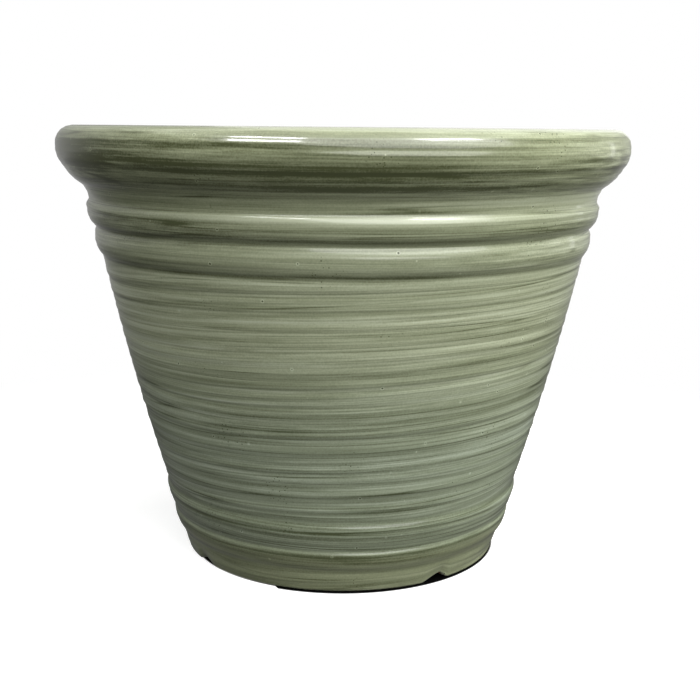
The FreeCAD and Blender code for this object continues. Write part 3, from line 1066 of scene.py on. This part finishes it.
def dim_front():
    """The unlit front of the studio, which only reflections see: dark felt on the ground round the pot
    and up a wall, which is open to the white behind the pot. The felt's paler parts glow, as painted
    light that stands in for where it is lit, and only reflections show them: close to the pot, from
    0.34 to 0.13 m, and behind it, from 0.1 to 1.4 m back. Circles round the foot, at the foot of the
    wall and at its top carry it: the top's height is 3 m times a step that falls from 1 to 0 between
    160 and 164 degrees from the felt's front, which faces 7 degrees to the left.
    """
    turn = np.radians(np.linspace(-180, 180, 90, endpoint=False))[None, :]
    from_front = np.abs(turned_from(turn, -7))
    wall = 1 - smooth_step(from_front, math.radians(160), math.radians(164))
    reach = np.array((104, 2600, 2600))[:, None]
    height = 1 + np.array((0, 0, 3000))[:, None] * wall
    points = np.stack((reach * np.sin(turn), -reach * np.cos(turn), height), -1)
    faces = grid_faces(3, turn.size, close_rows=False)
    material, tree = new_material("dark_felt")
    place = add(tree, "TexCoord").outputs["Object"]
    distance = add(tree, "VectorMath", place, operation="LENGTH").outputs["Value"]
    near = add(tree, "MapRange", distance, 0.13, 0.34, 0.1, 0.05, interpolation_type="SMOOTHSTEP")
    behind = add(tree, "MapRange", add(tree, "SeparateXYZ", place).outputs[1], 0.1, 1.4, 0.0, 0.32)
    glow = add(tree, "Math", near, behind, operation="ADD")
    add(tree, "OutputMaterial", add(tree, "Emission", (1, 1, 1, 1), glow))
    felt = mesh_piece("dim_front", points.reshape(-1, 3), faces, [material])
    felt.visible_camera = False
    felt.visible_diffuse = False
    felt.visible_shadow = False
    return felt


def add_camera(stage):
    """The camera, in front of the pot at the height of its rim and looking down at it."""
    camera = bpy.data.objects.new("camera", bpy.data.cameras.new("camera"))
    camera.data.lens = stage.lens
    camera.data.sensor_width = 36
    height = HEIGHT * MM + stage.camera_rise
    place = Matrix.Translation((stage.camera_side, -stage.camera_distance, height))
    look = Matrix.Rotation(math.pi / 2 - stage.camera_pitch, 4, "X")
    camera.matrix_world = place @ look @ Matrix.Rotation(stage.camera_roll, 4, "Z")
    bpy.context.scene.collection.objects.link(camera)
    bpy.context.scene.camera = camera


def build_stage(stage):
    """Floor, felt, lamps, world and camera."""
    bpy.context.scene.view_settings.view_transform = "Standard"
    reach = 6 / MM  # the floor runs out 6 m each way
    corners = [(-reach, -reach, 0), (reach, -reach, 0), (reach, reach, 0), (-reach, reach, 0)]
    mesh_piece("floor", corners, [(0, 1, 2, 3)], [pale_floor()])
    dim_front()
    pale_world(stage.fill)
    light_pot(stage)
    add_camera(stage)


class PLANTER_OT_pot(bpy.types.Operator):
    """Builds the glazed pot in place of its plain solid"""

    bl_idname = "planter.pot"
    bl_label = "Pot"

    def execute(self, context):
        build_pot(context.scene.pot_sizes, context.scene.pot_colours)
        return {"FINISHED"}


class PLANTER_OT_plug(bpy.types.Operator):
    """Builds the rubber drain plug in place of its plain solid"""

    bl_idname = "planter.drain_plug"
    bl_label = "Drain plug"

    def execute(self, context):
        build_plug(context.scene.pot_colours)
        return {"FINISHED"}


class PLANTER_OT_stage(bpy.types.Operator):
    """Sets out the floor, the lamps and the camera"""

    bl_idname = "planter.stage"
    bl_label = "Stage"

    def execute(self, context):
        build_stage(context.scene.planter_stage)
        return {"FINISHED"}


class PLANTER_PT_panel(bpy.types.Panel):
    """Lists the planter's pieces and its stage"""

    bl_idname = "PLANTER_PT_panel"
    bl_label = "Planter"
    bl_space_type = "VIEW_3D"
    bl_region_type = "UI"
    bl_category = "Planter"

    def draw(self, context):
        for group, place in GROUPS.items():
            for name in group.__annotations__:
                self.layout.prop(getattr(context.scene, place), name)
        for operator in OPERATORS:
            self.layout.operator(operator.bl_idname)


GROUPS = {PotSizes: "pot_sizes", PotColours: "pot_colours", StageSettings: "planter_stage"}
OPERATORS = (PLANTER_OT_pot, PLANTER_OT_plug, PLANTER_OT_stage)


def register():
    """Registers the settings, the operators and the panel."""
    for group, name in GROUPS.items():
        bpy.utils.register_class(group)
        setattr(bpy.types.Scene, name, PointerProperty(type=group))
    for kind in (*OPERATORS, PLANTER_PT_panel):
        bpy.utils.register_class(kind)


def unregister():
    """Takes them away again, in the opposite order."""
    for kind in (PLANTER_PT_panel, *reversed(OPERATORS)):
        bpy.utils.unregister_class(kind)
    for group, name in reversed(GROUPS.items()):
        delattr(bpy.types.Scene, name)
        bpy.utils.unregister_class(group)


def main():
    """Builds every piece and the stage."""
    register()
    bpy.ops.planter.pot()
    bpy.ops.planter.drain_plug()
    bpy.ops.planter.stage()


if __name__ == "__main__":
    main()
